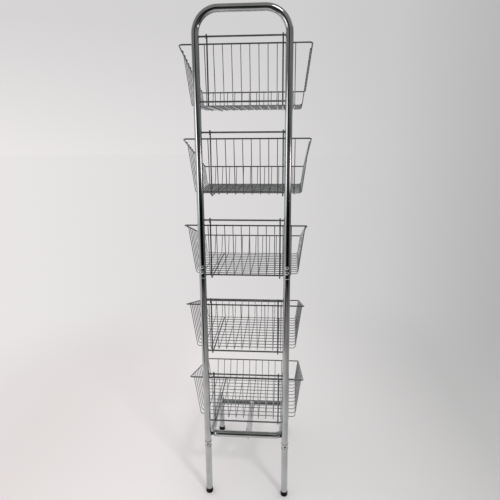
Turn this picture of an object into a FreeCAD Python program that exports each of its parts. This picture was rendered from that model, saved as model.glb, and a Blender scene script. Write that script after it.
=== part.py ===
import FreeCAD, Part
import math
import os
import Sketcher
from FreeCAD import Placement, Rotation, Vector

# A free-standing wire basket stand: two tube posts joined by an arch at the top, a bent tube base,
# and five wire baskets that hang by hooks on rods between the posts.
# +Z is up, +X is to the right seen from the posts, and +Y runs from the posts to the front legs,
# where the baskets have their low side. The origin is on the floor, midway between posts and front legs.

doc = FreeCAD.newDocument("WireBasketStand")
pieces = []

# Driving dimensions, in millimetres
sizes = {
    # Frame tube
    "tube_od": 25,
    "tube_wall": 1.5,
    "post_spacing": 300,
    "front_splay": 3,
    "base_depth": 410,
    "arch_bend": 75,
    "top_rod_below_bend": 6,
    "seam_chamfer": 1,
    # Joint in the middle of each post: an inner sleeve and two screws
    "mid_joint_drop": 8.5,
    "mid_sleeve_up": 60,
    "mid_sleeve_down": 50,
    "mid_screw_low": 22,
    "mid_screw_high": 40,
    # Joint between each post and its leg: an inner sleeve and one screw
    "leg_joint_drop": 24.5,
    "leg_sleeve_up": 60,
    "leg_sleeve_down": 45,
    "leg_screw_drop": 13,
    "sleeve_wall": 1.5,
    "sleeve_fit": 0.1,
    # Dome head screws, shared by all joints
    "head_dia": 13,
    "head_height": 3.5,
    "head_edge": 1,
    "socket_width": 4,
    "socket_depth": 1.8,
    "shank_dia": 5,
    "shank_tail": 3,
    "hole_clear": 0.3,
    "thread_fit": 0.05,
    # Base: one bent tube makes the rail, the arms and the front legs
    "base_rail_z": 259.5,
    "arm_inset": 14,
    "corner_bend": 30,
    "arm_end_z": 200,
    "leg_bend": 45,
    "front_rail_z": 150,
    "stretcher_back_x": 8,
    "stretcher_front_x": -4.5,
    "saddle_dia": 13,
    "saddle_gap": 6,
    # Plastic feet
    "foot_height": 18.5,
    "foot_floor": 4,
    "foot_wall": 1.1,
    "foot_fit": 0.05,
    "foot_round": 2.5,
    # Rods between the posts, two to a tier
    "rod_dia": 6,
    "lower_rod_rise": 14,
    "bottom_gap": 34,
    "tier_gap": 81,
    # Basket: rim, hangers and mesh
    "rim_wire": 5,
    "hanger_wire": 5,
    "mesh_wire": 3,
    "weld_gap": 0.05,
    "hook_clear": 0.3,
    "hook_tip": 8,
    "post_clear": 0.5,
    "rim_back_width": 430,
    "rim_front_width": 419,
    "rim_depth": 383,
    "rim_below_rod": 21,
    "rim_fall": 118.5,
    "rim_corner": 10,
    "floor_drop": 208.5,
    "floor_back_width": 374,
    "floor_front_width": 387,
    "floor_back_inset": 26,
    "floor_front_inset": 33.5,
    "cross_back_inset": 20.5,
    "cross_front_inset": 8,
    "side_top_back": 43,
    "side_top_front": 20,
    "wire_bend": 8,
    "side_bend": 10,
    "wire_past_rim": 1.5,
    "long_wire_pitch": 29.4,
    "hanger_beside_wire": 10.3,
    "hanger_bend": 8,
    "arm_past_mesh": 5,
    # Sideways place of each basket on its rods, from the top down
    "shift_top": 8,
    "shift_second": 11,
    "shift_third": 3,
    "shift_fourth": -2,
    "shift_bottom": 1,
}
shifts = ["shift_top", "shift_second", "shift_third", "shift_fourth", "shift_bottom"]
long_wire_count = 12
cross_wire_count = 12
sides = {"left": -1, "right": 1}

sheet = doc.addObject("Spreadsheet::Sheet", "Sizes")
for row, (alias, number) in enumerate(sizes.items(), 1):
    sheet.set(f"A{row}", alias.replace("_", " "))
    sheet.set(f"B{row}", str(number))
    sheet.setAlias(f"B{row}", alias)

# Places and sizes that follow from the driving dimensions.
# Basket places are counted from the axis of the rod that it hangs on.
derived = {
    "tube_r": "Sizes.tube_od / 2",
    "bore_r": "tube_r - Sizes.tube_wall",
    "sleeve_r": "bore_r - Sizes.sleeve_fit",
    "post_x": "Sizes.post_spacing / 2",
    "leg_x": "post_x + Sizes.front_splay",
    "post_y": "-Sizes.base_depth / 2",
    "leg_y": "Sizes.base_depth / 2",
    "hanger_y": "(Sizes.hanger_wire + Sizes.rod_dia) / 2 + Sizes.hook_clear",
    "rim_y": "hanger_y + (Sizes.hanger_wire + Sizes.rim_wire) / 2 + Sizes.weld_gap",
    "rod_y": "post_y + tube_r + Sizes.post_clear + Sizes.rim_wire / 2 - rim_y",
    "long_drop": "Sizes.floor_drop + Sizes.mesh_wire + Sizes.weld_gap",
    "arm_drop": "Sizes.floor_drop + (Sizes.mesh_wire + Sizes.hanger_wire) / 2 + Sizes.weld_gap",
    "basket_drop": "arm_drop + Sizes.hanger_wire / 2",
    "tier_pitch": "basket_drop + Sizes.tier_gap",
    "rod_drop": "arm_drop - Sizes.lower_rod_rise",
    "bottom_rod_z": "Sizes.base_rail_z + tube_r + Sizes.bottom_gap + basket_drop",
    "top_rod_z": f"bottom_rod_z + {len(shifts) - 1} * tier_pitch",
    "bend_z": "top_rod_z + Sizes.top_rod_below_bend",
    "arch_z": "bend_z + Sizes.arch_bend",
    "mid_joint_z": f"top_rod_z - {len(shifts) // 2} * tier_pitch - rod_drop - Sizes.mid_joint_drop",
    "leg_joint_z": "Sizes.base_rail_z - Sizes.leg_joint_drop",
    "corner_reach": "Sizes.corner_bend + Sizes.tube_od + Sizes.saddle_gap",
    "corner_side": "Sizes.arm_inset + Sizes.corner_bend",
    "rail_y": "post_y + sqrt(corner_reach ^ 2 - corner_side ^ 2) - Sizes.corner_bend",
    "screw_grip": "Sizes.tube_wall + Sizes.sleeve_fit + Sizes.sleeve_wall + Sizes.shank_tail",
}
layout = doc.addObject("App::VarSet", "Layout")
for name, formula in derived.items():
    layout.addProperty("App::PropertyFloat", name, "Layout")
    layout.setExpression(name, formula)
doc.recompute()

along_x = Rotation(Vector(0, 1, 0), 90)
to_back = Rotation(Vector(1, 0, 0), 90)
up = Vector(0, 0, 1)


def bind(thing, formulas):
    for place, formula in formulas.items():
        thing.setExpression(place, formula)
    return thing


def keep(piece, label):
    piece.Label = label
    pieces.append(piece)
    return piece


def move(thing, x, y, z):
    return bind(thing, {"Placement.Base.x": x, "Placement.Base.y": y, "Placement.Base.z": z})


def bar(name, radius, length, place, turn=Rotation()):
    rod = doc.addObject("Part::Cylinder", name)
    rod.Placement = Placement(Vector(), turn)
    bind(rod, {"Radius": radius, "Height": length})
    return move(rod, *place)


def solid(name, shape):
    piece = doc.addObject("Part::Feature", name)
    piece.Shape = shape
    return piece


def cut(label, base, tools):
    tool = tools[0]
    if len(tools) > 1:
        tool = doc.addObject("Part::MultiFuse", label + "_cuts")
        tool.Shapes = tools
    piece = doc.addObject("Part::Cut", label)
    piece.Base = base
    piece.Tool = tool
    return keep(piece, label)


def turned(label, profile):
    # A body of revolution about its own Z axis. Each corner of the profile is a pair of formulas,
    # radius and height, and None stands for a corner on the axis or on the base plane.
    body = doc.addObject("PartDesign::Body", label)
    sketch = body.newObject("Sketcher::SketchObject", label + "_profile")
    plane = next(f for f in body.Origin.OriginFeatures if f.Role == "XZ_Plane")
    sketch.AttachmentSupport = [(plane, "")]
    sketch.MapMode = "FlatFace"
    count = len(profile)
    rough = sheet.tube_od
    turns = [2 * math.pi * k / count for k in range(count)]
    start = [Vector(2 * rough + rough * math.cos(a), rough * math.sin(a), 0) for a in turns]
    for k in range(count):
        sketch.addGeometry(Part.LineSegment(start[k], start[(k + 1) % count]))
    for k in range(count):
        sketch.addConstraint(Sketcher.Constraint("Coincident", k, 2, (k + 1) % count, 1))
    for k, (radius, height) in enumerate(profile):
        for kind, axis, formula, value in (
            ("DistanceX", -2, radius, start[k].x),
            ("DistanceY", -1, height, start[k].y),
        ):
            if formula is None:
                sketch.addConstraint(Sketcher.Constraint("PointOnObject", k, 1, axis))
            else:
                index = sketch.addConstraint(Sketcher.Constraint(kind, -1, 1, k, 1, value))
                sketch.setExpression(f"Constraints[{index}]", formula)
    spin = body.newObject("PartDesign::Revolution", label + "_turned")
    spin.Profile = sketch
    spin.ReferenceAxis = (sketch, ["V_Axis"])
    spin.Angle = 360
    body.Tip = spin
    return body


def tube_body(label, outer, bore, length):
    # A straight tube with its outside edges broken by a small chamfer.
    edge = "Sizes.seam_chamfer"
    return turned(label, [
        (bore, None),
        (f"{outer} - {edge}", None),
        (outer, edge),
        (outer, f"{length} - {edge}"),
        (f"{outer} - {edge}", length),
        (bore, length),
    ])


def rounded_path(points, bends, closed=False):
    # Straight runs joined by tangent arcs. One bend radius belongs to each corner.
    count = len(points)
    corners = range(count) if closed else range(1, count - 1)
    arcs = {}
    for corner, bend in zip(corners, bends):
        here = points[corner]
        before = (points[corner - 1] - here).normalize()
        after = (points[(corner + 1) % count] - here).normalize()
        half = before.getAngle(after) / 2
        inwards = (before + after).normalize()
        centre = here + inwards * (bend / math.sin(half))
        reach = bend / math.tan(half)
        arcs[corner] = (here + before * reach, centre - inwards * bend, here + after * reach)
    edges = []
    last = arcs[count - 1][2] if closed else points[0]
    for corner in corners:
        begin, middle, end = arcs[corner]
        edges.append(Part.LineSegment(last, begin).toShape())
        edges.append(Part.Arc(begin, middle, end).toShape())
        last = end
    if not closed:
        edges.append(Part.LineSegment(last, points[-1]).toShape())
    return Part.Wire(edges)


def swept(path, radius):
    first = path.OrderedEdges[0]
    begin = first.valueAt(first.FirstParameter)
    heading = first.tangentAt(first.FirstParameter)
    ring = Part.Wire([Part.Circle(begin, heading, radius).toShape()])
    return path.makePipeShell([ring], True, False)


def dome_screw(seat_point, outwards, seat, grip):
    # A dome head with a hexagon socket, its underside shaped to the tube that it sits on, and a plain shank.
    radius = sheet.head_dia / 2
    crown_rise = sheet.head_height - sheet.head_edge
    crown_r = (radius ** 2 + crown_rise ** 2) / (2 * crown_rise)
    half_way = math.asin(radius / crown_r) / 2
    top = Vector(0, 0, sheet.head_height)
    edge = Vector(radius, 0, sheet.head_edge)
    crown_middle = top + Vector(math.sin(half_way), 0, math.cos(half_way) - 1) * crown_r
    crown = Part.Arc(edge, crown_middle, top).toShape()
    sunk = Vector(0, 0, -radius)
    outline = Part.makePolygon([top, sunk, sunk + Vector(radius, 0, 0), edge])
    head = Part.Face(Part.Wire(outline.Edges + [crown])).revolve(Vector(), up, 360)
    socket_corner = sheet.socket_width / math.sqrt(3)
    turns = [math.pi * k / 3 for k in range(7)]
    hexagon = Part.makePolygon([Vector(socket_corner * math.cos(a), socket_corner * math.sin(a),
                                       sheet.head_height - sheet.socket_depth) for a in turns])
    head = head.cut(Part.Face(hexagon).extrude(up * sheet.head_height))
    head.Placement = Placement(seat_point, Rotation(up, outwards))
    root = seat_point + outwards * (sheet.head_edge / 2)
    shank = Part.makeCylinder(sheet.shank_dia / 2, grip + sheet.head_edge / 2, root, outwards * -1)
    return head.cut(seat).fuse(shank).removeSplitter()


def post_solid(side, radius):
    return Part.makeCylinder(radius, layout.arch_z, Vector(side * layout.post_x, layout.post_y, 0))


def check_volume(shape, path, radius, name):
    # A swept bar holds its section times its length, here to one part in a thousand.
    allowed = 0.001
    expected = math.pi * radius ** 2 * path.Length
    if abs(shape.Volume / expected - 1) > allowed:
        raise RuntimeError(f"{name}: volume {shape.Volume:.0f}, expected {expected:.0f}")


# Base frame: front leg, arm, rail, arm and front leg in one bent tube
foot_seat = sheet.foot_floor
base_corners = [
    Vector(-layout.leg_x, layout.leg_y, foot_seat),
    Vector(-layout.leg_x, layout.leg_y, sheet.arm_end_z),
    Vector(sheet.arm_inset - layout.post_x, layout.rail_y, sheet.base_rail_z),
    Vector(layout.post_x - sheet.arm_inset, layout.rail_y, sheet.base_rail_z),
    Vector(layout.leg_x, layout.leg_y, sheet.arm_end_z),
    Vector(layout.leg_x, layout.leg_y, foot_seat),
]
base_bends = [sheet.leg_bend, sheet.corner_bend, sheet.corner_bend, sheet.leg_bend]
base_path = rounded_path(base_corners, base_bends)
base_outer = swept(base_path, layout.tube_r)
check_volume(base_outer, base_path, layout.tube_r, "base_frame")
base_tube = base_outer.cut(swept(base_path, layout.bore_r))

# Where each post comes nearest to a corner of the base frame, a plastic saddle fills the gap
# and a bolt goes through the corner and the saddle into the post
bends = [edge for edge in base_path.OrderedEdges if edge.Curve.TypeId == "Part::GeomCircle"]
corner_bends = {"left": bends[1], "right": bends[2]}
clear_r = sheet.shank_dia / 2 + sheet.hole_clear
tight_r = sheet.shank_dia / 2 + sheet.thread_fit
base_holes = []
post_holes = {}
sleeve_holes = {}
bolts = []
for name, side in sides.items():
    bend = corner_bends[name]
    bend_solid = Part.makeTorus(bend.Curve.Radius, layout.tube_r, bend.Curve.Center, bend.Curve.Axis)
    post_axis = Part.LineSegment(Vector(side * layout.post_x, layout.post_y, 0),
                                 Vector(side * layout.post_x, layout.post_y, layout.arch_z)).toShape()
    reach, nearest, _ = bend.distToShape(post_axis)
    in_base, in_post = nearest[0]
    outwards = (in_post - in_base).normalize()
    clear_bore = Part.makeCylinder(clear_r, reach, in_base, outwards)
    saddle = Part.makeCylinder(sheet.saddle_dia / 2, reach, in_base, outwards)
    saddle = saddle.cut(post_solid(side, layout.tube_r)).cut(bend_solid).cut(clear_bore)
    keep(solid(name + "_saddle", saddle), name + "_saddle")
    head_seat = in_base - outwards * layout.tube_r
    base_holes.append(Part.makeCylinder(clear_r, sheet.tube_od, head_seat, outwards))
    post_holes[name] = solid(name + "_post_hole", clear_bore)
    sleeve_holes[name] = solid(name + "_sleeve_hole", Part.makeCylinder(tight_r, reach, in_base, outwards))
    bolts.append(dome_screw(head_seat, outwards * -1, bend_solid, reach + layout.screw_grip))
keep(solid("base_frame", base_tube.cut(base_holes)), "base_frame")
keep(solid("base_bolts", Part.makeCompound(bolts)), "base_bolts")

# Front rail and centre stretcher, coped to the tubes that they are welded to
rail_end = Vector(-layout.leg_x, layout.leg_y, sheet.front_rail_z)
across = Vector(1, 0, 0)
rail_length = 2 * layout.leg_x
rail_outer = Part.makeCylinder(layout.tube_r, rail_length, rail_end, across)
rail_bore = Part.makeCylinder(layout.bore_r, rail_length, rail_end, across)
keep(solid("front_rail", rail_outer.cut(base_outer).cut(rail_bore)), "front_rail")

stretcher_back = Vector(sheet.stretcher_back_x, layout.rail_y, sheet.base_rail_z)
stretcher_front = Vector(sheet.stretcher_front_x, layout.leg_y, sheet.front_rail_z)
stretcher_run = stretcher_front - stretcher_back
stretcher = Part.makeCylinder(layout.tube_r, stretcher_run.Length, stretcher_back, stretcher_run)
stretcher = stretcher.cut(base_outer).cut(rail_outer)
stretcher_bore = Part.makeCylinder(layout.bore_r, stretcher_run.Length, stretcher_back, stretcher_run)
keep(solid("centre_stretcher", stretcher.cut(stretcher_bore)), "centre_stretcher")

# Top arch: both upper posts and the hand rail in one bent tube, with its lower edges broken
arch_corners = [
    Vector(-layout.post_x, layout.post_y, layout.mid_joint_z),
    Vector(-layout.post_x, layout.post_y, layout.arch_z),
    Vector(layout.post_x, layout.post_y, layout.arch_z),
    Vector(layout.post_x, layout.post_y, layout.mid_joint_z),
]
arch_path = rounded_path(arch_corners, [sheet.arch_bend, sheet.arch_bend])
arch_outer = swept(arch_path, layout.tube_r)
check_volume(arch_outer, arch_path, layout.tube_r, "top_arch")
lower_edges = [edge for edge in arch_outer.Edges
               if max(abs(v.Z - layout.mid_joint_z) for v in edge.Vertexes) < sheet.weld_gap]
arch = arch_outer.makeChamfer(sheet.seam_chamfer, lower_edges).cut(swept(arch_path, layout.bore_r))

# Posts below the arch, their legs, and the sleeves inside both joints
screw_hole_r = "Sizes.shank_dia / 2 + Sizes.hole_clear"
thread_hole_r = "Sizes.shank_dia / 2 + Sizes.thread_fit"
sleeve_bore_r = "(Layout.sleeve_r - Sizes.sleeve_wall)"
mid_screw_rises = ["Sizes.mid_screw_low", "Sizes.mid_screw_high"]
arch_holes = []
mid_screws = []
leg_screws = []
for name, side in sides.items():
    x = f"{side} * Layout.post_x"
    wall = post_solid(side, layout.tube_r)
    skin = Vector(side * layout.post_x, layout.post_y - layout.tube_r, 0)
    back = Vector(0, -1, 0)

    post = tube_body(name + "_post_tube", "Layout.tube_r", "Layout.bore_r",
                     "(Layout.mid_joint_z - Layout.leg_joint_z)")
    move(post, x, "Layout.post_y", "Layout.leg_joint_z")
    cut(name + "_lower_post", post, [post_holes[name]])

    leg = tube_body(name + "_leg_tube", "Layout.tube_r", "Layout.bore_r",
                    "(Layout.leg_joint_z - Sizes.foot_floor)")
    move(leg, x, "Layout.post_y", "Sizes.foot_floor")
    leg_screw_place = (x, "Layout.post_y", "Layout.leg_joint_z - Sizes.leg_screw_drop")
    leg_hole = bar(name + "_leg_hole", screw_hole_r, "Sizes.tube_od", leg_screw_place, to_back)
    cut(name + "_post_leg", leg, [leg_hole])

    mid_sleeve = tube_body(name + "_mid_sleeve_tube", "Layout.sleeve_r", sleeve_bore_r,
                           "(Sizes.mid_sleeve_up + Sizes.mid_sleeve_down)")
    move(mid_sleeve, x, "Layout.post_y", "Layout.mid_joint_z - Sizes.mid_sleeve_down")
    threads = [bar(f"{name}_mid_thread_{k}", thread_hole_r, "Sizes.tube_od",
                   (x, "Layout.post_y", f"Layout.mid_joint_z + {rise}"), to_back)
               for k, rise in enumerate(mid_screw_rises, 1)]
    cut(name + "_mid_sleeve", mid_sleeve, threads)

    leg_sleeve = tube_body(name + "_leg_sleeve_tube", "Layout.sleeve_r", sleeve_bore_r,
                           "(Sizes.leg_sleeve_up + Sizes.leg_sleeve_down)")
    move(leg_sleeve, x, "Layout.post_y", "Layout.leg_joint_z - Sizes.leg_sleeve_down")
    thread = bar(name + "_leg_thread", thread_hole_r, "Sizes.tube_od", leg_screw_place, to_back)
    cut(name + "_leg_sleeve", leg_sleeve, [thread, sleeve_holes[name]])

    for rise in (sheet.mid_screw_low, sheet.mid_screw_high):
        seat_point = skin + up * (layout.mid_joint_z + rise)
        mid_screws.append(dome_screw(seat_point, back, wall, layout.screw_grip))
        arch_holes.append(Part.makeCylinder(clear_r, layout.tube_r, seat_point, back * -1))
    leg_point = skin + up * (layout.leg_joint_z - sheet.leg_screw_drop)
    leg_screws.append(dome_screw(leg_point, back, wall, layout.screw_grip))
keep(solid("top_arch", arch.cut(arch_holes)), "top_arch")
keep(solid("mid_joint_screws", Part.makeCompound(mid_screws)), "mid_joint_screws")
keep(solid("leg_joint_screws", Part.makeCompound(leg_screws)), "leg_joint_screws")

# Feet: a plastic cup on each tube end, its bottom edge rounded
foot_places = {"post": ("Layout.post_x", "Layout.post_y"), "front": ("Layout.leg_x", "Layout.leg_y")}
foot_bore = "(Layout.tube_r + Sizes.foot_fit)"
foot_r = f"({foot_bore} + Sizes.foot_wall)"
for where, (x, y) in foot_places.items():
    for name, side in sides.items():
        label = f"{name}_{where}_foot"
        foot = turned(label, [
            (None, None),
            (foot_r, None),
            (foot_r, "Sizes.foot_height"),
            (foot_bore, "Sizes.foot_height"),
            (foot_bore, "Sizes.foot_floor"),
            (None, "Sizes.foot_floor"),
        ])
        doc.recompute()
        bottom_edges = [f"Edge{k}" for k, edge in enumerate(foot.Shape.Edges, 1)
                        if edge.BoundBox.ZMax < sheet.weld_gap and edge.BoundBox.XLength > sheet.tube_od]
        cup = foot.Tip
        rounding = foot.newObject("PartDesign::Fillet", label + "_rounding")
        rounding.Base = (cup, bottom_edges)
        bind(rounding, {"Radius": "Sizes.foot_round"})
        foot.Tip = rounding
        move(foot, f"{side} * {x}", y, "0")
        keep(foot, label)

# Rods between the posts, coped to the posts' round faces
post_faces = [bar(name + "_post_face", "Layout.tube_r", "Layout.arch_z",
                  (f"{side} * Layout.post_x", "Layout.post_y", "0"))
              for name, side in sides.items()]
tier_heights = [f"Layout.top_rod_z - {k} * Layout.tier_pitch" for k in range(len(shifts))]
for tier, height in enumerate(tier_heights, 1):
    for level, drop in {"upper": "0", "lower": "Layout.rod_drop"}.items():
        label = f"{level}_rod_{tier}"
        rod = bar(label + "_bar", "Sizes.rod_dia / 2", "Sizes.post_spacing",
                  ("-Layout.post_x", "Layout.rod_y", f"{height} - {drop}"), along_x)
        cut(label, rod, post_faces)


# One basket, with the upper rod's axis at its origin
rim_back = Vector(0, layout.rim_y, -sheet.rim_below_rod)
rim_front = rim_back + Vector(0, sheet.rim_depth, -sheet.rim_fall)
back_half = sheet.rim_back_width / 2
front_half = sheet.rim_front_width / 2
mesh_r = sheet.mesh_wire / 2
beside_rim = (sheet.rim_wire + sheet.mesh_wire) / 2 + sheet.weld_gap
floor_back = layout.rim_y + sheet.floor_back_inset
floor_front = rim_front.y - sheet.floor_front_inset
first_cross = floor_back + sheet.cross_back_inset
last_cross = floor_front - sheet.cross_front_inset
middle_wire = (long_wire_count - 1) / 2
long_places = [(k - middle_wire) * sheet.long_wire_pitch for k in range(long_wire_count)]
cross_places = [k / (cross_wire_count - 1) for k in range(cross_wire_count)]

# Each hanger stands beside a long wire, the outermost one that leaves it clear of the post on every tier
widest_shift = max(abs(sheet.get(shift)) for shift in shifts)
hanger_limit = layout.post_x - layout.tube_r - sheet.hanger_wire / 2 - widest_shift
hanger_x = max(x for x in (place - sheet.hanger_beside_wire for place in long_places) if x <= hanger_limit)


def rim():
    # Four wires, butt welded where the bends end: a straight one on each side, and the back and the front
    # with a bend at both ends.
    corners = [rim_back + Vector(-back_half, 0, 0), rim_back + Vector(back_half, 0, 0),
               rim_front + Vector(front_half, 0, 0), rim_front + Vector(-front_half, 0, 0)]
    left, *rest = rounded_path(corners, [sheet.rim_corner] * len(corners), closed=True).OrderedEdges
    wires = [[left], rest[:3], rest[3:4], rest[4:]]
    return Part.makeCompound([swept(Part.Wire(wire), sheet.rim_wire / 2) for wire in wires])


def hanger(side):
    # A hook over the upper rod, a straight back behind both rods, and an arm under the floor.
    x = side * hanger_x
    reach = layout.hanger_y
    tip = Vector(x, -reach, -sheet.hook_tip)
    hook_start = Vector(x, -reach, 0)
    hook_end = Vector(x, reach, 0)
    heel = Vector(x, reach, -layout.arm_drop)
    arm_end = Vector(x, last_cross + sheet.arm_past_mesh, -layout.arm_drop)
    hook = [Part.LineSegment(tip, hook_start).toShape(),
            Part.Arc(hook_start, Vector(x, 0, reach), hook_end).toShape()]
    back_and_arm = rounded_path([hook_end, heel, arm_end], [sheet.hanger_bend])
    return swept(Part.Wire(hook + back_and_arm.OrderedEdges), sheet.hanger_wire / 2)


def beside(corner, rim_point, lean):
    # The end of a wire that starts at corner and lies just inside a rim wire that runs across it.
    run = rim_point - corner
    inside = (lean - run * (lean.dot(run) / run.dot(run))).normalize()
    end = rim_point + inside * beside_rim
    return end + (end - corner).normalize() * sheet.wire_past_rim


def long_wire(x):
    back_corner = Vector(x, floor_back, -layout.long_drop)
    front_corner = Vector(x, floor_front, -layout.long_drop)
    across = Vector(x, 0, 0)
    points = [beside(back_corner, rim_back + across, Vector(0, 1, 0)), back_corner,
              front_corner, beside(front_corner, rim_front + across, Vector(0, -1, 0))]
    return swept(rounded_path(points, [sheet.wire_bend] * 2), mesh_r)


def cross_wire(share):
    # share runs from 0 at the back of the floor to 1 at its front.
    y = first_cross + share * (last_cross - first_cross)
    half = (sheet.floor_back_width + share * (sheet.floor_front_width - sheet.floor_back_width)) / 2
    top_y = sheet.side_top_back + share * (sheet.rim_depth - sheet.side_top_back - sheet.side_top_front)
    ends = []
    for side in sides.values():
        corner = Vector(side * half, y, -sheet.floor_drop)
        rim_start = rim_back + Vector(side * back_half, 0, 0)
        side_run = rim_front + Vector(side * front_half, 0, 0) - rim_start
        rim_point = rim_start + side_run * (top_y / sheet.rim_depth)
        inwards = side_run.cross(rim_point - corner)
        if inwards.x * side > 0:
            inwards = inwards * -1
        ends.append((corner, beside(corner, rim_point, inwards)))
    points = [ends[0][1], ends[0][0], ends[1][0], ends[1][1]]
    return swept(rounded_path(points, [sheet.side_bend] * 2), mesh_r)


basket_parts = {
    "rim": rim(),
    "hangers": Part.makeCompound([hanger(side) for side in sides.values()]),
    "long_wires": Part.makeCompound([long_wire(x) for x in long_places]),
    "cross_wires": Part.makeCompound([cross_wire(share) for share in cross_places]),
}
for tier, (height, shift) in enumerate(zip(tier_heights, shifts), 1):
    for part_name, shape in basket_parts.items():
        label = f"basket_{tier}_{part_name}"
        piece = keep(solid(label, shape.copy()), label)
        move(piece, f"Sizes.{shift}", "Layout.rod_y", height)

doc.recompute()
for thing in doc.Objects:
    if "Invalid" in thing.State or "Error" in thing.State:
        raise RuntimeError(f"{thing.Label} failed: {thing.State}")
for piece in pieces:
    if piece.Shape.isNull() or not piece.Shape.isValid():
        raise RuntimeError(f"{piece.Label} has no valid shape")

os.makedirs("parts", exist_ok=True)
for piece in pieces:
    piece.Shape.exportStep(f"parts/{piece.Label}.step")
print(f"{len(pieces)} sub-parts, {layout.arch_z + layout.tube_r:.1f} mm high")
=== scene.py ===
import bmesh
import bpy
import math
import random
from mathutils import Matrix, Vector


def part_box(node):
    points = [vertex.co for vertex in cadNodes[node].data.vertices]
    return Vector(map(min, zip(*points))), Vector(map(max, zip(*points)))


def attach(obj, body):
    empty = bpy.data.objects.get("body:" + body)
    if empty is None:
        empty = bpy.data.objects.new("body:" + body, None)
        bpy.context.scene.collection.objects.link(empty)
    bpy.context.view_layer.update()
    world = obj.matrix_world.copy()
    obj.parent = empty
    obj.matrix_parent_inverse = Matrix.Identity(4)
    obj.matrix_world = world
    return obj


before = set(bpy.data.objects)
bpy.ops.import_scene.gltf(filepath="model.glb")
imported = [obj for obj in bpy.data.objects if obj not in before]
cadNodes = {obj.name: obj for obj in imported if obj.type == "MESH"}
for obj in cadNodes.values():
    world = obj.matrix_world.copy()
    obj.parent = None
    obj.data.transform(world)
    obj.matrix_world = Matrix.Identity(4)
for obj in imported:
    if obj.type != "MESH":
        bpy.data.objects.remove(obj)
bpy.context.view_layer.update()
scene = bpy.context.scene
scene.view_settings.view_transform = "Standard"
tiers = range(1, 6)
sideNames = ("left", "right")
mm = 0.001
micron = mm / 1000
print("frame loaded:", len(cadNodes), "nodes")


# small helpers

def linear(hexColour):  # sRGB hex to linear RGBA
    channels = [int(hexColour[k:k + 2], 16) / 255 for k in (1, 3, 5)]
    return [c / 12.92 if c <= 0.04045 else ((c + 0.055) / 1.055) ** 2.4 for c in channels] + [1.0]


def addNode(tree, kind, settings, links=None):
    # adds a node with its settings and links, and gives its outputs
    node = tree.nodes.new("ShaderNode" + kind)
    for name, value in settings.items():
        if name == "stops":  # the places and hex colours along a ramp
            elements = node.color_ramp.elements
            for element, (place, tint) in zip(elements, (value[0], value[-1])):
                element.position = place
                element.color = linear(tint)
            for place, tint in value[1:-1]:
                elements.new(place).color = linear(tint)
        elif name in ("From", "To"):  # both ends of a range
            for limit, number in zip((" Min", " Max"), value):
                node.inputs[name + limit].default_value = number
        elif isinstance(name, int) or name in node.inputs:
            node.inputs[name].default_value = value
        else:
            setattr(node, name, value)
    for socket, source in (links or {}).items():
        tree.links.new(source, node.inputs[socket])
    return node.outputs


def newMaterial(name, surface):  # the even values go straight onto the shader's sockets
    material = bpy.data.materials.new(name)
    material.use_nodes = True
    shader = material.node_tree.nodes["Principled BSDF"]
    for socket, value in surface.items():
        shader.inputs[socket].default_value = value
    return material, material.node_tree, shader


def connect(tree, shader, sources):
    for socket, source in sources.items():
        tree.links.new(source, shader.inputs[socket])


def dress(names, material):
    for name in names:
        slots = cadNodes[name].data.materials
        slots.clear()
        slots.append(material)


# materials

chromeTube = {
    "light": "#C6C8C9",         # clean plate, a little darker than silver
    "dull": "#B2B4B6",          # where hands and cloths have taken the shine down
    "patchMm": 70,              # width of the duller patches
    "patchEdge": (0.35, 0.75),  # noise values where a patch begins and is full
    "lineMm": 1.6,              # polishing lines, drawn coarse so that they show at all
    "shine": (0.045, 0.11),     # roughness, clean and dull
    "waveMm": 45,               # slow waves left by drawing and bending the tube
    "waveMicron": 6,
}
chromeRod = {
    "light": "#989A9C",
    "dull": "#7E8082",
    "patchMm": 24,
    "patchEdge": (0.35, 0.75),
    "lineMm": 0.9,              # die lines along the rod, far coarser than the real ones
    "shine": (0.10, 0.22),
    "waveMm": 12,
    "waveMicron": 4,
}
chromeRim = {
    "light": "#818385",         # thin plate, which lets the grey of the steel through
    "dull": "#6B6D6F",
    "patchMm": 24,
    "patchEdge": (0.35, 0.75),
    "lineMm": 0.9,
    "shine": (0.10, 0.22),
    "waveMm": 12,
    "waveMicron": 4,
}
chromeMesh = {
    "light": "#B4B6B8",
    "dull": "#989A9C",
    "patchMm": 24,
    "patchEdge": (0.35, 0.75),
    "lineMm": 0.9,
    "shine": (0.07, 0.16),
    "waveMm": 12,
    "waveMicron": 4,
}
chromeWeld = {
    "light": "#9EA0A2",
    "dull": "#787A7C",
    "patchMm": 5,
    "patchEdge": (0.35, 0.75),
    "lineMm": 0.8,
    "shine": (0.20, 0.38),
    "waveMm": 2,                # ripples in the bead under the plate
    "waveMicron": 60,
}
burnishedLip = {
    "light": "#F2F2F0",         # rubbed bright
    "dull": "#D2D2D0",
    "patchMm": 8,
    "patchEdge": (0.45, 0.85),
    "lineMm": 0.6,
    "shine": (0.24, 0.36),
    "waveMm": 6,
    "waveMicron": 8,
}


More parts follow.
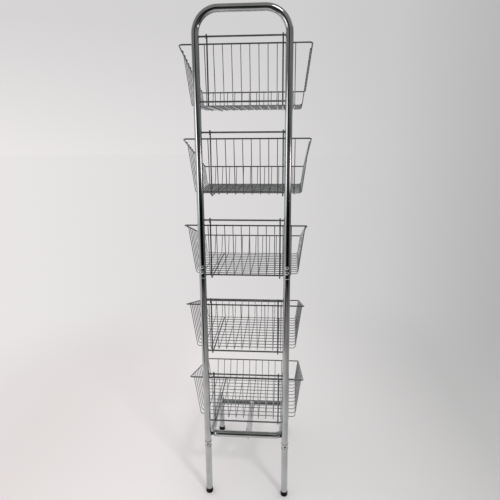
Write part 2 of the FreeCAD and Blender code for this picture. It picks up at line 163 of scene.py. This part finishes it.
def platedSteel(name, look):
    # chrome plate on polished steel: a hard mirror with slightly duller patches and faint lines
    material, tree, shader = newMaterial(name, {"Metallic": 1.0})
    place = addNode(tree, "TexCoord", {})["Object"]
    patches, lines, waves = (
        addNode(tree, "TexNoise", {"Scale": 1 / (look[size] * mm), "Detail": fine}, {"Vector": place})["Fac"]
        for size, fine in (("patchMm", 3.0), ("lineMm", 2.0), ("waveMm", 1.0)))
    lineShare, wornSpan = 0.35, (0.45, 0.95)
    wear = {"operation": "MULTIPLY_ADD", 1: lineShare}
    worn = addNode(tree, "Math", wear, {0: lines, 2: patches})["Value"]
    tints = {"stops": tuple(zip(look["patchEdge"], (look["light"], look["dull"])))}
    shine = {"From": wornSpan, "To": look["shine"]}
    bump = {"Distance": look["waveMicron"] * micron}
    connect(tree, shader, {
        "Base Color": addNode(tree, "ValToRGB", tints, {"Fac": patches})["Color"],
        "Roughness": addNode(tree, "MapRange", shine, {"Value": worn})["Result"],
        "Normal": addNode(tree, "Bump", bump, {"Height": waves})["Normal"],
    })
    return material


blackPlastic = {
    "body": "#040405",
    "scuff": "#101011",         # pale rubs from the floor
    "scuffMm": 9,
    "scuffEdge": (0.55, 0.82),
    "grainMm": 1.4,             # moulded grain, about four times the real one so that it shows
    "grainMicron": 24,
    "shine": (0.42, 0.6),
}


def mouldedPolythene(name, look):
    # black polythene from a textured mould: a soft broad highlight, broken up by grain and a few rubs
    material, tree, shader = newMaterial(name, {"Metallic": 0.0, "IOR": 1.51, "Specular IOR Level": 0.15})
    place = addNode(tree, "TexCoord", {})["Object"]
    noise = {"Scale": 1 / (look["scuffMm"] * mm), "Detail": 5.0, "Roughness": 0.7}
    cells = {"Scale": 1 / (look["grainMm"] * mm)}
    rubs = addNode(tree, "TexNoise", noise, {"Vector": place})["Fac"]
    grain = addNode(tree, "TexVoronoi", cells, {"Vector": place})["Distance"]
    rubSpan = (0.3, 0.8)
    tints = {"stops": tuple(zip(look["scuffEdge"], (look["body"], look["scuff"])))}
    shine = {"From": rubSpan, "To": look["shine"]}
    bump = {"Distance": look["grainMicron"] * micron}
    connect(tree, shader, {
        "Base Color": addNode(tree, "ValToRGB", tints, {"Fac": rubs})["Color"],
        "Roughness": addNode(tree, "MapRange", shine, {"Value": rubs})["Result"],
        "Normal": addNode(tree, "Bump", bump, {"Height": grain})["Normal"],
    })
    return material


zincScrew = {
    "bright": "#DCDEE0",
    "dark": "#9A9DA0",          # bluish grey in the worn places
    "patchMm": 3.5,
    "patchEdge": (0.40, 0.85),
    "turnedMm": 0.7,            # turning marks on the head
    "turnedMicron": 3,
    "shine": (0.14, 0.30),
}


def coldHeadedScrew(name, look):
    # a cold-headed screw with a thin coat of bright zinc and faint turning marks
    material, tree, shader = newMaterial(name, {"Metallic": 1.0})
    place = addNode(tree, "TexCoord", {})["Object"]
    patches, marks = (
        addNode(tree, "TexNoise", {"Scale": 1 / (look[size] * mm), "Detail": fine}, {"Vector": place})["Fac"]
        for size, fine in (("patchMm", 4.0), ("turnedMm", 1.0)))
    patchSpan = (0.3, 0.75)
    tints = {"stops": tuple(zip(look["patchEdge"], (look["bright"], look["dark"])))}
    shine = {"From": patchSpan, "To": look["shine"]}
    bump = {"Distance": look["turnedMicron"] * micron}
    connect(tree, shader, {
        "Base Color": addNode(tree, "ValToRGB", tints, {"Fac": patches})["Color"],
        "Roughness": addNode(tree, "MapRange", shine, {"Value": patches})["Result"],
        "Normal": addNode(tree, "Bump", bump, {"Height": marks})["Normal"],
    })
    return material


drawnSleeve = {
    "bright": "#9C9EA0",
    "oiled": "#6E6A64",         # a brown tint of drawing oil
    "streakMm": 20,
    "streakEdge": (0.3, 0.7),
    "streakStretch": 0.08,      # streaks run along the sleeve
    "shine": (0.32, 0.5),
}


def drawnSteelSleeve(name, look):
    # plain cold-drawn steel, never plated, a little oily
    material, tree, shader = newMaterial(name, {"Metallic": 1.0})
    place = addNode(tree, "TexCoord", {})["Object"]
    drawn = addNode(tree, "Mapping", {"Scale": (1, 1, look["streakStretch"])}, {"Vector": place})["Vector"]
    noise = {"Scale": 1 / (look["streakMm"] * mm), "Detail": 5.0}
    streaks = addNode(tree, "TexNoise", noise, {"Vector": drawn})["Fac"]
    tints = {"stops": tuple(zip(look["streakEdge"], (look["bright"], look["oiled"])))}
    connect(tree, shader, {
        "Base Color": addNode(tree, "ValToRGB", tints, {"Fac": streaks})["Color"],
        "Roughness": addNode(tree, "MapRange", {"To": look["shine"]}, {"Value": streaks})["Result"],
    })
    return material


tubeChrome = platedSteel("chromePlatePolishedTube", chromeTube)
rodChrome = platedSteel("chromePlateDrawnRod", chromeRod)
rimChrome = platedSteel("chromePlateBentRimWire", chromeRim)
meshChrome = platedSteel("chromePlateDrawnMeshWire", chromeMesh)
weldChrome = platedSteel("chromePlateOverWeld", chromeWeld)
lipChrome = platedSteel("chromePlateBurnishedEdge", burnishedLip)
footPlastic = mouldedPolythene("blackPolytheneMoulded", blackPlastic)
screwZinc = coldHeadedScrew("zincPlateColdHeadedScrew", zincScrew)
sleeveSteel = drawnSteelSleeve("drawnSteelUnplated", drawnSleeve)

dress(["top_arch", "base_frame", "front_rail", "centre_stretcher"], tubeChrome)
for side in sideNames:
    dress([f"{side}_lower_post", f"{side}_post_leg"], tubeChrome)
    dress([f"{side}_mid_sleeve", f"{side}_leg_sleeve"], sleeveSteel)
    dress([f"{side}_saddle", f"{side}_post_foot", f"{side}_front_foot"], footPlastic)
dress(["mid_joint_screws", "leg_joint_screws", "base_bolts"], screwZinc)
for tier in tiers:
    dress([f"upper_rod_{tier}", f"lower_rod_{tier}"], rodChrome)
    dress([f"basket_{tier}_rim", f"basket_{tier}_hangers"], rimChrome)
    dress([f"basket_{tier}_long_wires", f"basket_{tier}_cross_wires"], meshChrome)
print("materials done:", len(bpy.data.materials))


# weld beads where tubes and rods meet, and the rolled lips at the seams of the posts

weldBead = {
    "rodMm": 1.1,         # bead radius round a rod's end
    "tubeMm": 1.7,        # bead radius round a tube's end
    "steps": 40,          # places along a bead
    "sides": 8,
    "rippleShare": 0.14,  # how uneven a hand weld's width is
    "seed": 11,
}


def middle(name):
    low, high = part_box(name)
    return (low + high) / 2


def ringPoints(centre, axis, radius):
    spoke = axis.orthogonal().normalized() * radius
    turns = [2 * math.pi * k / weldBead["steps"] for k in range(weldBead["steps"])]
    return [centre + Matrix.Rotation(turn, 3, axis) @ spoke for turn in turns]


def meetingCurve(start, run, radius, wallPoint, wallRun, wallRadius):
    # the line where a tube's skin, followed along run, first touches the round wall of another tube
    towards = run - wallRun * run.dot(wallRun)
    points = []
    for skin in ringPoints(start, run, radius):
        offset = skin - wallPoint
        offset -= wallRun * offset.dot(wallRun)
        inner = offset.dot(towards) ** 2 - towards.length_squared * (offset.length_squared - wallRadius ** 2)
        reach = (-offset.dot(towards) - math.sqrt(max(inner, 0))) / towards.length_squared
        points.append(skin + run * reach)
    return points


def addBead(mesh, curve, radius, draw, ripple):
    # a closed tube along the curve, its width uneven by the ripple, as in a hand weld
    count, sides = len(curve), weldBead["sides"]
    turns = [2 * math.pi * k / sides for k in range(sides)]
    across = (curve[1] - curve[-1]).orthogonal()
    rings = []
    for k, point in enumerate(curve):
        heading = (curve[(k + 1) % count] - curve[k - 1]).normalized()
        across = (across - heading * across.dot(heading)).normalized()
        width = radius * (1 + ripple * draw.uniform(-1, 1))
        spokes = [Matrix.Rotation(turn, 3, heading) @ across * width for turn in turns]
        rings.append([mesh.verts.new(point + spoke) for spoke in spokes])
    first = rings[0]
    shift = min(range(sides), key=lambda s: (rings[-1][0].co - first[s].co).length)
    rings.append(first[shift:] + first[:shift])  # the end meets the start where the two lie nearest
    for here, there in zip(rings, rings[1:]):
        for j in range(sides):
            n = (j + 1) % sides
            mesh.faces.new((here[j], here[n], there[n], there[j]))


def finishPiece(mesh, name, body, material):
    bmesh.ops.recalc_face_normals(mesh, faces=mesh.faces)
    data = bpy.data.meshes.new(name)
    mesh.to_mesh(data)
    mesh.free()
    data.materials.append(material)
    for face in data.polygons:
        face.use_smooth = True
    piece = bpy.data.objects.new(name, data)
    scene.collection.objects.link(piece)
    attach(piece, body)


upward = Vector((0, 0, 1))
sideways = Vector((1, 0, 0))
forward = Vector((0, 1, 0))
postLow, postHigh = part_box("left_lower_post")
tubeRadius = (postHigh.x - postLow.x) / 2
postAxes = {side: middle(f"{side}_lower_post") for side in sideNames}
legAxes = {side: middle(f"{side}_front_foot") for side in sideNames}
outwards = {"left": -sideways, "right": sideways}

draw = random.Random(weldBead["seed"])
rodWelds = bmesh.new()
for tier in tiers:
    for level in ("upper", "lower"):
        rodLow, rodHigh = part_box(f"{level}_rod_{tier}")
        centre = (rodLow + rodHigh) / 2
        rodRadius = (rodHigh.z - rodLow.z) / 2
        for side in sideNames:
            curve = meetingCurve(centre, outwards[side], rodRadius, postAxes[side], upward, tubeRadius)
            addBead(rodWelds, curve, weldBead["rodMm"] * mm, draw, weldBead["rippleShare"])
finishPiece(rodWelds, "rod_weld_beads", "stand", weldChrome)

tubeWelds = bmesh.new()
railCentre = middle("front_rail")
for side in sideNames:
    curve = meetingCurve(railCentre, outwards[side], tubeRadius, legAxes[side], upward, tubeRadius)
    addBead(tubeWelds, curve, weldBead["tubeMm"] * mm, draw, weldBead["rippleShare"])
baseLow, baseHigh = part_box("base_frame")
stretcherLow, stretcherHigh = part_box("centre_stretcher")
backRail = Vector((0, stretcherLow.y, baseHigh.z - tubeRadius))
backEnd = Vector((stretcherHigh.x - tubeRadius, backRail.y, backRail.z))
frontEnd = Vector((stretcherLow.x + tubeRadius, railCentre.y, railCentre.z))
stretcherRun = (frontEnd - backEnd).normalized()
stretcherMiddle = (backEnd + frontEnd) / 2
for run, wall in ((stretcherRun, frontEnd), (-stretcherRun, backEnd)):
    curve = meetingCurve(stretcherMiddle, run, tubeRadius, wall, sideways, tubeRadius)
    addBead(tubeWelds, curve, weldBead["tubeMm"] * mm, draw, weldBead["rippleShare"])
finishPiece(tubeWelds, "tube_weld_beads", "stand", weldChrome)

seamLip = {
    # radius of a rolled lip, how far it stands out from the tube, and where the lips sit above the seam
    "middleMm": (1.5, 1.2, (0,)),
    "legMm": (1.6, 1.5, (0, -20)),  # one at the seam and one below the screw
}
seamLips, legLips = bmesh.new(), bmesh.new()
for side in sideNames:
    low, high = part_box(f"{side}_lower_post")
    seams = ((seamLips, high.z, seamLip["middleMm"]), (legLips, low.z, seamLip["legMm"]))
    for mesh, seam, (lip, proud, rises) in seams:
        for rise in rises:
            centre = Vector((postAxes[side].x, postAxes[side].y, seam + rise * mm))
            ring = ringPoints(centre, upward, tubeRadius + (proud - lip) * mm)
            addBead(mesh, ring, lip * mm, draw, 0.0)
finishPiece(seamLips, "seam_lips", "stand", lipChrome)
finishPiece(legLips, "leg_seam_lips", "stand", tubeChrome)
print("weld beads and seam lips done")


# spot welds in the baskets

spotWeld = {
    "meshMm": (2.3, 2.3, 1.5),   # half sizes of the flat nugget between two mesh wires
    "rimMm": (2.0, 2.4, 2.4),    # half sizes where a mesh wire is pressed onto the rim
    "seatMm": (2.0, -1.5),       # from a wire's tip to its nugget on the rim, outwards and up
    "tipMm": 2.0,                # length of wire that counts as its tip
    "joinMm": 0.02,              # points nearer than this belong to one wire
    "unevenShare": 0.18,
    "seed": 5,
}


def wirePoints(name):
    # the points of each separate wire in a node
    mesh = bmesh.new()
    mesh.from_mesh(cadNodes[name].data)
    bmesh.ops.remove_doubles(mesh, verts=mesh.verts, dist=spotWeld["joinMm"] * mm)
    seen = set()
    wires = []
    for vert in mesh.verts:
        if vert in seen:
            continue
        seen.add(vert)
        island = [vert]
        for reached in island:
            for edge in reached.link_edges:
                other = edge.other_vert(reached)
                if other not in seen:
                    seen.add(other)
                    island.append(other)
        wires.append([v.co.copy() for v in island])
    mesh.free()
    return wires


def addNugget(mesh, centre, halfSizes, draw):
    uneven = [1 + spotWeld["unevenShare"] * draw.uniform(-1, 1) for _ in range(3)]
    scale = Matrix.Diagonal([h * mm * u for h, u in zip(halfSizes, uneven)] + [1])
    bmesh.ops.create_icosphere(mesh, subdivisions=1, radius=1, matrix=Matrix.Translation(centre) @ scale)


def wireTip(points, keep):
    # the middle of a wire's end: the top of the points on one side
    chosen = [p for p in points if keep(p)]
    top = max(p.z for p in chosen)
    tip = [p for p in chosen if p.z > top - spotWeld["tipMm"] * mm]
    return sum(tip, Vector()) / len(tip)


def addRimNuggets(mesh, wires, outward, centre, draw):
    # both ends of each wire, on the rim's two sides along outward
    seatOut, seatUp = spotWeld["seatMm"]
    for wire in wires:
        for way in (-outward, outward):
            tip = wireTip(wire, lambda p: (p - centre).dot(way) > 0)
            addNugget(mesh, tip + (way * seatOut + upward * seatUp) * mm, spotWeld["rimMm"], draw)


for tier in tiers:
    draw = random.Random(spotWeld["seed"] + tier)
    mesh = bmesh.new()
    centre = middle(f"basket_{tier}_rim")
    longWires, crossWires, hangers = (wirePoints(f"basket_{tier}_{part}")
                                      for part in ("long_wires", "cross_wires", "hangers"))
    places = sorted(sum(p.x for p in wire) / len(wire) for wire in longWires)
    places += [sum(p.x for p in wire) / len(wire) for wire in hangers]
    for wire in crossWires:
        lowest = min(p.z for p in wire)
        flats = [p for p in wire if p.z < lowest + spotWeld["tipMm"] * mm]
        y = sum(p.y for p in flats) / len(flats)
        for x in places:
            addNugget(mesh, Vector((x, y, lowest)), spotWeld["meshMm"], draw)
    addRimNuggets(mesh, longWires, forward, centre, draw)
    addRimNuggets(mesh, crossWires, sideways, centre, draw)
    finishPiece(mesh, f"basket_{tier}_spot_welds", f"basket_{tier}", weldChrome)
print("spot welds done")


# floor and surroundings

studio = {
    # the backdrop as the camera sees it, from left to right, high up and low down, with painted shade that
    # greys it towards the right and high up on the left
    "backdropHigh": ((0.0, "#D7D5D5"), (0.55, "#D2D1D1"), (0.78, "#C8C8C8"), (1.0, "#B4B4B4")),
    "backdropLow": ((0.0, "#F0ECEC"), (0.55, "#DCDADA"), (0.78, "#CDCCCC"), (1.0, "#B4B4B4")),
    "backdropAcross": (-0.55, 0.42),  # X of a direction
    "backdropRise": (-0.08, 0.20),    # Z of a direction
    "seenFrom": (0.14, -1.8, 0.0),    # the floor fades as seen from here
    "seenNear": 1.5,                  # m, nearer than this the tint hardly turns any more
    "fade": (0.8, 2.4),               # m from the stand, where the floor goes over into the backdrop
    "dome": "#F3F2F2",                # even light from all sides on whatever isn't a mirror
    # painted light and shade: the paper's own colour is paler on the left and greyer towards the right,
    # where less light falls
    "floor": ((0.0, "#E4DEDE"), (0.32, "#EEEAEA"), (0.5, "#E5E3E3"), (0.7, "#D7D6D6"),
              (1.0, "#BCBCBC")),
    "floorAcross": (-1.1, 1.1),       # m along X
    "floorSize": 60,                  # m
}
mirrored = {
    # what the plate reflects: a dark room behind the camera, pale paper to the left and beyond
    "centre": (0, 0, 0),
    "nearest": 0.001,                 # m, so that the very centre has a direction too
    "wallAway": 3.0,                  # m from the stand
    "wallHigh": 2.8,
    "wallSides": 96,
    "pale": "#D6D6D6",
    "paleFacing": (-0.8, 0.6, 0.0),
    "paleEdge": (-0.15, 0.45),        # cosines, where the room goes over into the pale side
    "paleTop": (1.95, 1.6),           # m, where the pale side ends on the posts' side
    "beyond": (0.0, 0.4),             # Y of a direction, where the paper beyond the stand begins
    "heights": (0.0, 2.4),            # m that the next two rows of tints cover
    "sideWall": ((0.0, "#666769"), (0.25, "#6C6D70"), (0.5, "#8C8D90"), (0.8, "#868686")),
    "room": ((0.30, "#09090A"), (0.37, "#353637"), (0.46, "#5C5D5E"), (0.58, "#48494A"),
             (0.70, "#6C6D6E"), (0.85, "#828282")),
    "roomFacing": (0.33, -0.94, 0.0),
    "roomEdge": (0.58, 0.86),         # cosines, where the room begins beside that direction
    # a dark doorway: direction, edge, m where it begins, tint
    "doorway": ((-0.1, -0.995, 0.0), (0.965, 0.992), (1.1, 1.35), "#141414"),
    "floorEnds": (0.25, 3.0),         # m from the stand, over which the floor takes the room's tint
    # a painted dark reflection: a dark patch on the floor that only mirrors see, for a dark band in the
    # posts; place, edge in m, tint
    "paintedDarkReflection": ((-1.2, -1.6, 0.0), (0.8, 0.5), "#0C0B0B"),
    # windows on the wall: direction, edge, m where the foot and the head begin, light, tint
    "windows": {
        "leftWindow": ((-0.72, -0.69, 0.0), (0.985, 0.995), (0.5, 1.0), (1.95, 1.6), 2.8, "#FFFFFF"),
        "rightLamp": ((0.93, -0.37, 0.0), (0.9945, 0.998), (0.85, 1.05), (1.35, 1.15), 7.0, "#FFEDEF"),
    },
    "ceiling": "#94948F",
    "ceilingFrom": (0.4, 0.75),       # Z of a direction
    "ceilingLamp": ((0.19, -0.40, 1.98), 0.07, 4.0),  # place and radius in m, light
    "lampSides": 32,
}
smooth = {"interpolation_type": "SMOOTHSTEP"}
rgb = {"data_type": "RGBA"}


def levelDirection(tree, place, centre, nearest):
    # from a centre, without its rise, and shorter than 1 where the place is nearer than the nearest distance
    away = addNode(tree, "VectorMath", {"operation": "SUBTRACT", 1: centre}, {0: place})["Vector"]
    level = addNode(tree, "VectorMath", {"operation": "MULTIPLY", 1: (1, 1, 0)}, {0: away})["Vector"]
    reach = addNode(tree, "VectorMath", {"operation": "LENGTH"}, {0: level})["Value"]
    reach = addNode(tree, "Math", {"operation": "MAXIMUM", 1: nearest}, {0: reach})["Value"]
    share = addNode(tree, "Math", {"operation": "DIVIDE", 0: 1.0}, {1: reach})["Value"]
    return addNode(tree, "VectorMath", {"operation": "SCALE"}, {0: level, "Scale": share})["Vector"]


def facingShare(tree, direction, facing, edge):  # 1 well inside the edge round a direction, 0 outside it
    product = addNode(tree, "VectorMath", {"operation": "DOT_PRODUCT", 1: facing}, {0: direction})["Value"]
    return addNode(tree, "MapRange", {"From": edge, **smooth}, {"Value": product})["Result"]


def backdropTint(tree, direction):
    # painted light and shade: pale on the left, greyer on the right, and a little darker high up on the left
    parts = addNode(tree, "SeparateXYZ", {}, {"Vector": direction})
    across = addNode(tree, "MapRange", {"From": studio["backdropAcross"]}, {"Value": parts["X"]})["Result"]
    rise = addNode(tree, "MapRange", {"From": studio["backdropRise"]}, {"Value": parts["Z"]})["Result"]
    low, high = (addNode(tree, "ValToRGB", {"stops": studio[name]}, {"Fac": across})["Color"]
                 for name in ("backdropLow", "backdropHigh"))
    return addNode(tree, "Mix", rgb, {"Factor": rise, "A": low, "B": high})["Result"]


def roomTint(tree, place):
    # the tint of the mirrored room at a place on its wall or floor, and how far it lies on the pale side
    direction = levelDirection(tree, place, mirrored["centre"], mirrored["nearest"])
    height = addNode(tree, "SeparateXYZ", {}, {"Vector": place})["Z"]
    level = addNode(tree, "MapRange", {"From": mirrored["heights"]}, {"Value": height})["Result"]
    sideWall, room = (addNode(tree, "ValToRGB", {"stops": mirrored[name]}, {"Fac": level})["Color"]
                      for name in ("sideWall", "room"))
    ahead = addNode(tree, "SeparateXYZ", {}, {"Vector": direction})["Y"]
    beyond = addNode(tree, "MapRange", {"From": mirrored["beyond"], **smooth}, {"Value": ahead})["Result"]
    below = addNode(tree, "MapRange", {"From": mirrored["paleTop"], **smooth}, {"Value": height})["Result"]
    papered = addNode(tree, "Math", {"operation": "MAXIMUM"}, {0: beyond, 1: below})["Value"]
    leftward = facingShare(tree, direction, mirrored["paleFacing"], mirrored["paleEdge"])
    pale = addNode(tree, "Math", {"operation": "MULTIPLY"}, {0: leftward, 1: papered})["Value"]
    inRoom = facingShare(tree, direction, mirrored["roomFacing"], mirrored["roomEdge"])
    facing, edge, rise, doorTint = mirrored["doorway"]
    raised = addNode(tree, "MapRange", {"From": rise}, {"Value": height})["Result"]
    inDoor = facingShare(tree, direction, facing, edge)
    inDoorway = addNode(tree, "Math", {"operation": "MULTIPLY"}, {0: inDoor, 1: raised})["Value"]
    paper, dark = linear(mirrored["pale"]), linear(doorTint)
    tint = addNode(tree, "Mix", rgb | {"B": paper}, {"Factor": pale, "A": sideWall})["Result"]
    tint = addNode(tree, "Mix", rgb, {"Factor": inRoom, "A": tint, "B": room})["Result"]
    tint = addNode(tree, "Mix", rgb | {"B": dark}, {"Factor": inDoorway, "A": tint})["Result"]
    return tint, pale


def stageMesh(name, mesh, material):
    data = bpy.data.meshes.new(name)
    mesh.to_mesh(data)
    mesh.free()
    data.materials.append(material)
    thing = bpy.data.objects.new(name, data)
    scene.collection.objects.link(thing)
    return thing


def hideFromAllButMirrors(thing):
    thing.visible_camera = thing.visible_diffuse = thing.visible_shadow = False
    thing.visible_transmission = thing.visible_volume_scatter = False


def makeWorld():
    # the camera sees the backdrop, mirrors see the ceiling, and all else gets even light
    world = bpy.data.worlds.new("paleStudio")
    world.use_nodes = True
    scene.world = world
    tree = world.node_tree
    tree.nodes.clear()
    direction = addNode(tree, "TexCoord", {})["Generated"]
    parts = addNode(tree, "SeparateXYZ", {}, {"Vector": direction})
    rays = addNode(tree, "LightPath", {})
    beyond, overhead = (
        addNode(tree, "MapRange", {"From": mirrored[edge], **smooth}, {"Value": parts[axis]})["Result"]
        for edge, axis in (("beyond", "Y"), ("ceilingFrom", "Z")))
    pale, ceiling, dome = linear(mirrored["pale"]), linear(mirrored["ceiling"]), linear(studio["dome"])
    paper = addNode(tree, "Mix", rgb | {"A": ceiling, "B": pale}, {"Factor": beyond})["Result"]
    above = addNode(tree, "Mix", rgb | {"B": ceiling}, {"Factor": overhead, "A": paper})["Result"]
    around = addNode(tree, "Mix", rgb | {"A": dome}, {"Factor": rays["Is Glossy Ray"], "B": above})["Result"]
    backdrop = backdropTint(tree, direction)
    tint = addNode(tree, "Mix", rgb, {"Factor": rays["Is Camera Ray"], "A": around, "B": backdrop})["Result"]
    background = addNode(tree, "Background", {}, {"Color": tint})["Background"]
    addNode(tree, "OutputWorld", {}, {"Surface": background})


def makeWall():
    # a round wall and a lamp above the arch that only mirrors see
    material, tree, _ = newMaterial("mirroredRoom", {})
    place = addNode(tree, "NewGeometry", {})["Position"]
    direction = levelDirection(tree, place, mirrored["centre"], mirrored["nearest"])
    height = addNode(tree, "SeparateXYZ", {}, {"Vector": place})["Z"]
    tint, _ = roomTint(tree, place)
    surface = addNode(tree, "Emission", {}, {"Color": tint})["Emission"]
    for facing, edge, foot, head, light, tint in mirrored["windows"].values():
        pane = facingShare(tree, direction, facing, edge)
        for rise in (foot, head):
            inside = addNode(tree, "MapRange", {"From": rise}, {"Value": height})["Result"]
            pane = addNode(tree, "Math", {"operation": "MULTIPLY"}, {0: pane, 1: inside})["Value"]
        lit = addNode(tree, "Math", {"operation": "MULTIPLY", 1: light}, {0: pane})["Value"]
        window = addNode(tree, "Emission", {"Color": linear(tint)}, {"Strength": lit})["Emission"]
        surface = addNode(tree, "AddShader", {}, {0: surface, 1: window})["Shader"]
    tree.links.new(surface, tree.nodes["Material Output"].inputs["Surface"])
    away, high = mirrored["wallAway"], mirrored["wallHigh"]
    lift = Matrix.Translation((0, 0, high / 2))
    mesh = bmesh.new()
    sides = mirrored["wallSides"]
    bmesh.ops.create_cone(mesh, segments=sides, radius1=away, radius2=away, depth=high, matrix=lift)
    hideFromAllButMirrors(stageMesh("room_wall", mesh, material))

    lampPlace, radius, light = mirrored["ceilingLamp"]
    material, tree, _ = newMaterial("mirroredLamp", {})
    glow = addNode(tree, "Emission", {"Strength": light})["Emission"]
    tree.links.new(glow, tree.nodes["Material Output"].inputs["Surface"])
    mesh = bmesh.new()
    lift = Matrix.Translation(lampPlace)
    sides = mirrored["lampSides"]
    bmesh.ops.create_circle(mesh, cap_ends=True, segments=sides, radius=radius, matrix=lift)
    hideFromAllButMirrors(stageMesh("ceiling_lamp", mesh, material))


def makeFloor():
    # matt paper, which fades into the backdrop for the camera and into the room for mirrors
    material, tree, shader = newMaterial("palePaperSweep", {"Roughness": 0.9, "Specular IOR Level": 0.1})
    place = addNode(tree, "NewGeometry", {})["Position"]
    x = addNode(tree, "SeparateXYZ", {}, {"Vector": place})["X"]
    # the paper's colour along X carries painted light and shade, paler on the left and greyer on the right
    across = addNode(tree, "MapRange", {"From": studio["floorAcross"]}, {"Value": x})["Result"]
    connect(tree, shader, {
        "Base Color": addNode(tree, "ValToRGB", {"stops": studio["floor"]}, {"Fac": across})["Color"],
    })
    distance = addNode(tree, "VectorMath", {"operation": "LENGTH"}, {0: place})["Value"]
    faded = addNode(tree, "MapRange", {"From": studio["fade"], **smooth}, {"Value": distance})["Result"]
    backdrop = backdropTint(tree, levelDirection(tree, place, studio["seenFrom"], studio["seenNear"]))
    ended = addNode(tree, "MapRange", {"From": mirrored["floorEnds"]}, {"Value": distance})["Result"]
    room, pale = roomTint(tree, place)
    inRoom = addNode(tree, "Math", {"operation": "SUBTRACT", 0: 1.0}, {1: pale})["Value"]
    ended = addNode(tree, "Math", {"operation": "MULTIPLY"}, {0: ended, 1: inRoom})["Value"]
    # painted dark reflection: a dark patch on the floor that only glossy rays see
    darkReflectionPlace, darkReflectionEdge, darkReflectionTint = mirrored["paintedDarkReflection"]
    fromDarkReflection = addNode(tree, "VectorMath", {"operation": "DISTANCE", 1: darkReflectionPlace}, {0: place})["Value"]
    inDarkReflection = addNode(tree, "MapRange", {"From": darkReflectionEdge, **smooth}, {"Value": fromDarkReflection})["Result"]
    rays = addNode(tree, "LightPath", {})
    surface = shader.outputs["BSDF"]
    for share, ray, settings, links in (
        (faded, "Is Camera Ray", {}, {"Color": backdrop}),
        (ended, "Is Glossy Ray", {}, {"Color": room}),
        (inDarkReflection, "Is Glossy Ray", {"Color": linear(darkReflectionTint)}, {}),
    ):
        glow = addNode(tree, "Emission", settings, links)["Emission"]
        part = addNode(tree, "Math", {"operation": "MULTIPLY"}, {0: share, 1: rays[ray]})["Value"]
        surface = addNode(tree, "MixShader", {}, {0: part, 1: surface, 2: glow})["Shader"]
    tree.links.new(surface, tree.nodes["Material Output"].inputs["Surface"])
    half = studio["floorSize"] / 2
    mesh = bmesh.new()
    corners = ((-half, -half, 0), (half, -half, 0), (half, half, 0), (-half, half, 0))
    mesh.faces.new([mesh.verts.new(corner) for corner in corners])
    stageMesh("floor", mesh, material)


lamps = {
    # name: place, aim, width and height in m, watts, colour
    "keySoftbox": ((1.55, -2.4, 2.9), (0.0, 0.0, 0.4), (0.5, 0.4), 32, "#FFFDFA"),
}


def makeLamps():
    for name, (place, aim, size, watts, tint) in lamps.items():
        light = bpy.data.lights.new(name, "AREA")
        light.shape = "RECTANGLE"
        light.size, light.size_y = size
        light.energy = watts
        light.color = linear(tint)[:3]
        lamp = bpy.data.objects.new(name, light)
        lamp.location = place
        lamp.rotation_euler = (Vector(aim) - Vector(place)).to_track_quat("-Z", "Y").to_euler()
        lamp.visible_glossy = False  # the plate mirrors the room's own lights instead
        scene.collection.objects.link(lamp)


makeWorld()
makeWall()
makeFloor()
makeLamps()
print("floor and light done")


# camera, at the height and angle of the photograph

shot = {
    "place": (0.1397, -1.8008, 1.4079),
    "turn": -0.0746,        # rad, from +Y towards +X
    "tilt": 0.2448,         # rad, downwards
    "roll": -0.0074,
    "focalPixels": 470,
    "framePixels": 500,
    "sensorMm": 36,
}


def makeCamera():
    turn, tilt, roll = shot["turn"], shot["tilt"], shot["roll"]
    ahead = Vector((math.sin(turn) * math.cos(tilt), math.cos(turn) * math.cos(tilt), -math.sin(tilt)))
    right = Vector((math.cos(turn), -math.sin(turn), 0))
    top = right.cross(ahead)
    rolledRight = right * math.cos(roll) + top * math.sin(roll)
    rolledTop = top * math.cos(roll) - right * math.sin(roll)
    camera = bpy.data.cameras.new("photoCamera")
    camera.sensor_width = shot["sensorMm"]
    camera.lens = shot["focalPixels"] / shot["framePixels"] * shot["sensorMm"]
    holder = bpy.data.objects.new("photoCamera", camera)
    facing = Matrix((rolledRight, rolledTop, -ahead)).transposed().to_4x4()
    holder.matrix_world = Matrix.Translation(shot["place"]) @ facing
    scene.collection.objects.link(holder)
    scene.camera = holder


makeCamera()
print("camera done")
